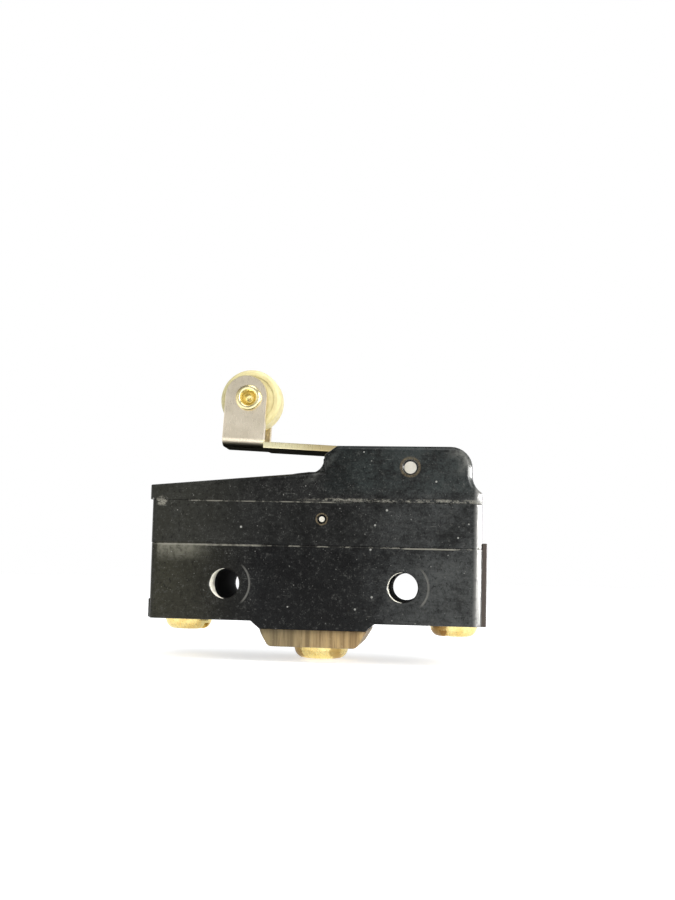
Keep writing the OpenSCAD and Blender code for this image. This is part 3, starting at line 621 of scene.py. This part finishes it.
# The snap blade bends, so it is shown in four lengths that stay joined: the root between the case and the
# plunger's foot, the legs from the foot outwards, the free end on its own body, and the tongue. The first
# four are x in mm.
FOOT = 7.9              # outer side of the plunger's foot, where the root ends and the legs begin
LEG_END = -6.0          # the legs end here and the free end begins
TONGUE_ROOT = -11.2     # the tongue leaves the free end here
TONGUE_TIP = 0.9
TONGUE_HALF = 1.65      # half of the slot's width round the tongue, mm


def is_tongue(x, y):
    """Whether a point in mm lies on the bowed tongue, between the two legs."""
    return TONGUE_ROOT < x < TONGUE_TIP and abs(y) < TONGUE_HALF


def blade_length(name, keep):
    """The faces of the snap blade whose middles keep(x, y) accepts, cut across every 0.7 mm so that they can
    bend, and closed again where they were cut off."""
    shape = bmesh.new()
    shape.from_mesh(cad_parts["snap_blade"].data)
    bmesh.ops.remove_doubles(shape, verts=shape.verts, dist=2e-6)
    for x in sorted([FOOT, LEG_END, TONGUE_ROOT, *np.arange(-15.9, 15.2, 0.7)]):
        everything = [*shape.verts, *shape.edges, *shape.faces]
        bmesh.ops.bisect_plane(
            shape, geom=everything, dist=1e-7, plane_co=(x * MM, 0, 0), plane_no=(1, 0, 0))
    middles = {face: face.calc_center_median() / MM for face in shape.faces}
    spare = [face for face, middle in middles.items() if not keep(middle.x, middle.y)]
    bmesh.ops.delete(shape, geom=spare, context="FACES")
    bmesh.ops.holes_fill(shape, edges=[edge for edge in shape.edges if edge.is_boundary])
    mesh = bpy.data.meshes.new(name)
    shape.to_mesh(mesh)
    shape.free()
    piece = show(name, mesh, "spring_bronze")
    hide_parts("snap_blade")
    return piece


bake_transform(blade_length("blade_root", lambda x, y: x > FOOT))
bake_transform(blade_length("blade_legs", lambda x, y: LEG_END < x < FOOT and not is_tongue(x, y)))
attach(blade_length("blade_free_end", lambda x, y: x < LEG_END and not is_tongue(x, y)), "blade")
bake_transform(blade_length("blade_tongue", is_tongue))


roller_low, roller_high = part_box("roller")
half = (roller_high[1] - roller_low[1]) / 2 / MM
outer = (roller_high[2] - roller_low[2]) / 2 / MM
side = [
    (1.56, half), (2.30, half), (2.48, half - 0.16), (outer - 1.10, half - 0.16),
    (outer - 0.95, half - 0.02), (outer - 0.40, half), (outer, half - 0.40)]
turned_part(
    "roller_turned", rounded(both_sides(side), 0.14), ROLLER_AXIS, "roller_nylon", "roller", "roller")

rivet_low, rivet_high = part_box("roller_rivet")
half = (rivet_high[1] - rivet_low[1]) / 2 / MM
head = [
    (0.0, half - 1.70), (0.55, half - 1.62), (0.98, half - 1.05), (1.10, half - 0.35), (1.32, half),
    (1.72, half), (1.95, half - 0.28), (1.95, half - 0.58), (1.5, half - 0.60)]
turned_part(
    "rivet_spun", rounded(both_sides(head), 0.30), ROLLER_AXIS, "rivet_brass", "lever_arm", "roller_rivet")


# ---------------------------------------------------------------- floor and light

def paint(name, colour, glow):
    """Matt colour that also glows towards the camera and in gloss, so that it stays white yet keeps a
    shadow."""
    material = bpy.data.materials.new(name)
    material.use_nodes = True
    tree = material.node_tree
    tree.nodes.clear()
    matt = tree.nodes.new("ShaderNodeBsdfDiffuse")
    matt.inputs["Color"].default_value = (*colour, 1.0)
    light = tree.nodes.new("ShaderNodeEmission")
    path = tree.nodes.new("ShaderNodeLightPath")
    seen = tree.nodes.new("ShaderNodeMath")
    seen.operation = "MAXIMUM"
    level = tree.nodes.new("ShaderNodeMath")
    level.operation = "MULTIPLY"
    level.inputs[1].default_value = glow
    total = tree.nodes.new("ShaderNodeAddShader")
    output = tree.nodes.new("ShaderNodeOutputMaterial")
    for source, target in (
            (path.outputs["Is Camera Ray"], seen.inputs[0]), (path.outputs["Is Glossy Ray"], seen.inputs[1]),
            (seen.outputs[0], level.inputs[0]), (level.outputs[0], light.inputs["Strength"]),
            (matt.outputs[0], total.inputs[0]), (light.outputs[0], total.inputs[1]),
            (total.outputs[0], output.inputs["Surface"])):
        tree.links.new(source, target)
    return material


def lay_floor(height, reach):
    """A round floor at that height: a disc of the given reach in mm, its corners on a circle round one
    centre point."""
    corners = 96
    turn = np.linspace(0, 2 * np.pi, corners, endpoint=False)
    rim = np.stack([reach * np.cos(turn), reach * np.sin(turn), np.full(corners, height)], axis=1)
    points = np.vstack([[0, 0, height], rim]) * MM
    faces = [(0, 1 + i, 1 + (i + 1) % corners) for i in range(corners)]
    mesh = bpy.data.meshes.new("pale_floor")
    mesh.from_pydata(points.tolist(), [], faces)
    floor = bpy.data.objects.new("pale_floor", mesh)
    mesh.materials.append(paint("floor_white", (0.80, 0.80, 0.80), 0.62))
    bpy.context.collection.objects.link(floor)


lay_floor(height=cad_box[0][2] / MM - 0.3, reach=1500.0)


def lamp(name, spot, target, size, power, colour=(1, 1, 1), gloss_only=False):
    """A rectangular soft light at spot, facing target, all in mm; power in watts. With gloss_only it shows in
    gloss but lights no matt surface."""
    data = bpy.data.lights.new(name, "AREA")
    data.shape, data.size, data.size_y = "RECTANGLE", size[0] * MM, size[1] * MM
    data.energy, data.color = power, colour
    light = bpy.data.objects.new(name, data)
    start, end = np.array(spot) * MM, np.array(target) * MM
    back = (start - end) / np.linalg.norm(start - end)
    side = np.cross([0.0, 0.0, 1.0], back)
    side /= np.linalg.norm(side)
    pose = np.eye(4)
    pose[:3, :3] = np.column_stack([side, np.cross(back, side), back])
    pose[:3, 3] = start
    light.matrix_world = Matrix(pose.tolist())
    bpy.context.collection.objects.link(light)
    light.visible_camera = False
    light.visible_diffuse = not gloss_only
    return light


def only_on(light, collection, nodes):
    """Lets a light reach the named pieces only."""
    group = bpy.data.collections.new(collection)
    for node in nodes:
        group.objects.link(bpy.data.objects[node])
    light.light_linking.receiver_collection = group


CASE_MIDDLE = (0, 0, 8)
lamp("right_softbox", (430, -290, 190), CASE_MIDDLE, (240, 320), 2.6, (1.0, 0.985, 0.95))
lamp("left_fill", (-380, -360, 90), CASE_MIDDLE, (260, 260), 0.2, (0.97, 0.985, 1.0))
lamp("top_light", (60, -120, 460), CASE_MIDDLE, (320, 260), 0.9)
glare = lamp(
    "right_glare", (360, -130, -10), (0, -130, -10), (700, 200), 36.0, (1.0, 0.99, 0.97), gloss_only=True)
only_on(glare, "case_pieces", ["base_housing_eased", "middle_frame_eased", "top_housing_eased"])
card = lamp("low_card", (150, -260, 35), (0, 0, -8), (160, 60), 0.4, (1.0, 0.98, 0.92))
only_on(card, "screw_heads", ["common_screw", "no_screw", "nc_screw"])

world = bpy.data.worlds.new("studio_world")
bpy.context.scene.world = world
world.use_nodes = True
tree = world.node_tree
tree.nodes.clear()


def sky(colour):
    """A plain background of one colour."""
    node = tree.nodes.new("ShaderNodeBackground")
    node.inputs["Color"].default_value = (*colour, 1.0)
    return node.outputs[0]


def choose(factor, first, second):
    """The first background where factor is 0, the second where it is 1."""
    node = tree.nodes.new("ShaderNodeMixShader")
    for socket, value in zip(node.inputs, (factor, first, second)):
        tree.links.new(value, socket)
    return node.outputs[0]


def ramp(source, low, high):
    """0 below low, 1 above high, straight in between."""
    node = tree.nodes.new("ShaderNodeMapRange")
    node.inputs["From Min"].default_value, node.inputs["From Max"].default_value = low, high
    tree.links.new(source, node.inputs["Value"])
    return node.outputs["Result"]


# White to the camera. To gloss: white behind the object, dimmer from the room in front and from its ceiling.
# An even grey for all other light.
path = tree.nodes.new("ShaderNodeLightPath")
direction = tree.nodes.new("ShaderNodeTexCoord")
parts = tree.nodes.new("ShaderNodeSeparateXYZ")
tree.links.new(direction.outputs["Generated"], parts.inputs[0])
gloss = choose(ramp(parts.outputs["Y"], -0.4, 0.3), sky((0.66, 0.66, 0.65)), sky((1.0, 1.0, 1.0)))
gloss = choose(ramp(parts.outputs["Z"], 0.12, 0.7), gloss, sky((0.22, 0.22, 0.23)))
other = choose(path.outputs["Is Glossy Ray"], sky((0.50, 0.51, 0.52)), gloss)
output = tree.nodes.new("ShaderNodeOutputWorld")
tree.links.new(choose(path.outputs["Is Camera Ray"], other, sky((1.0, 1.0, 1.0))), output.inputs["Surface"])

bpy.context.scene.view_settings.view_transform = "Standard"
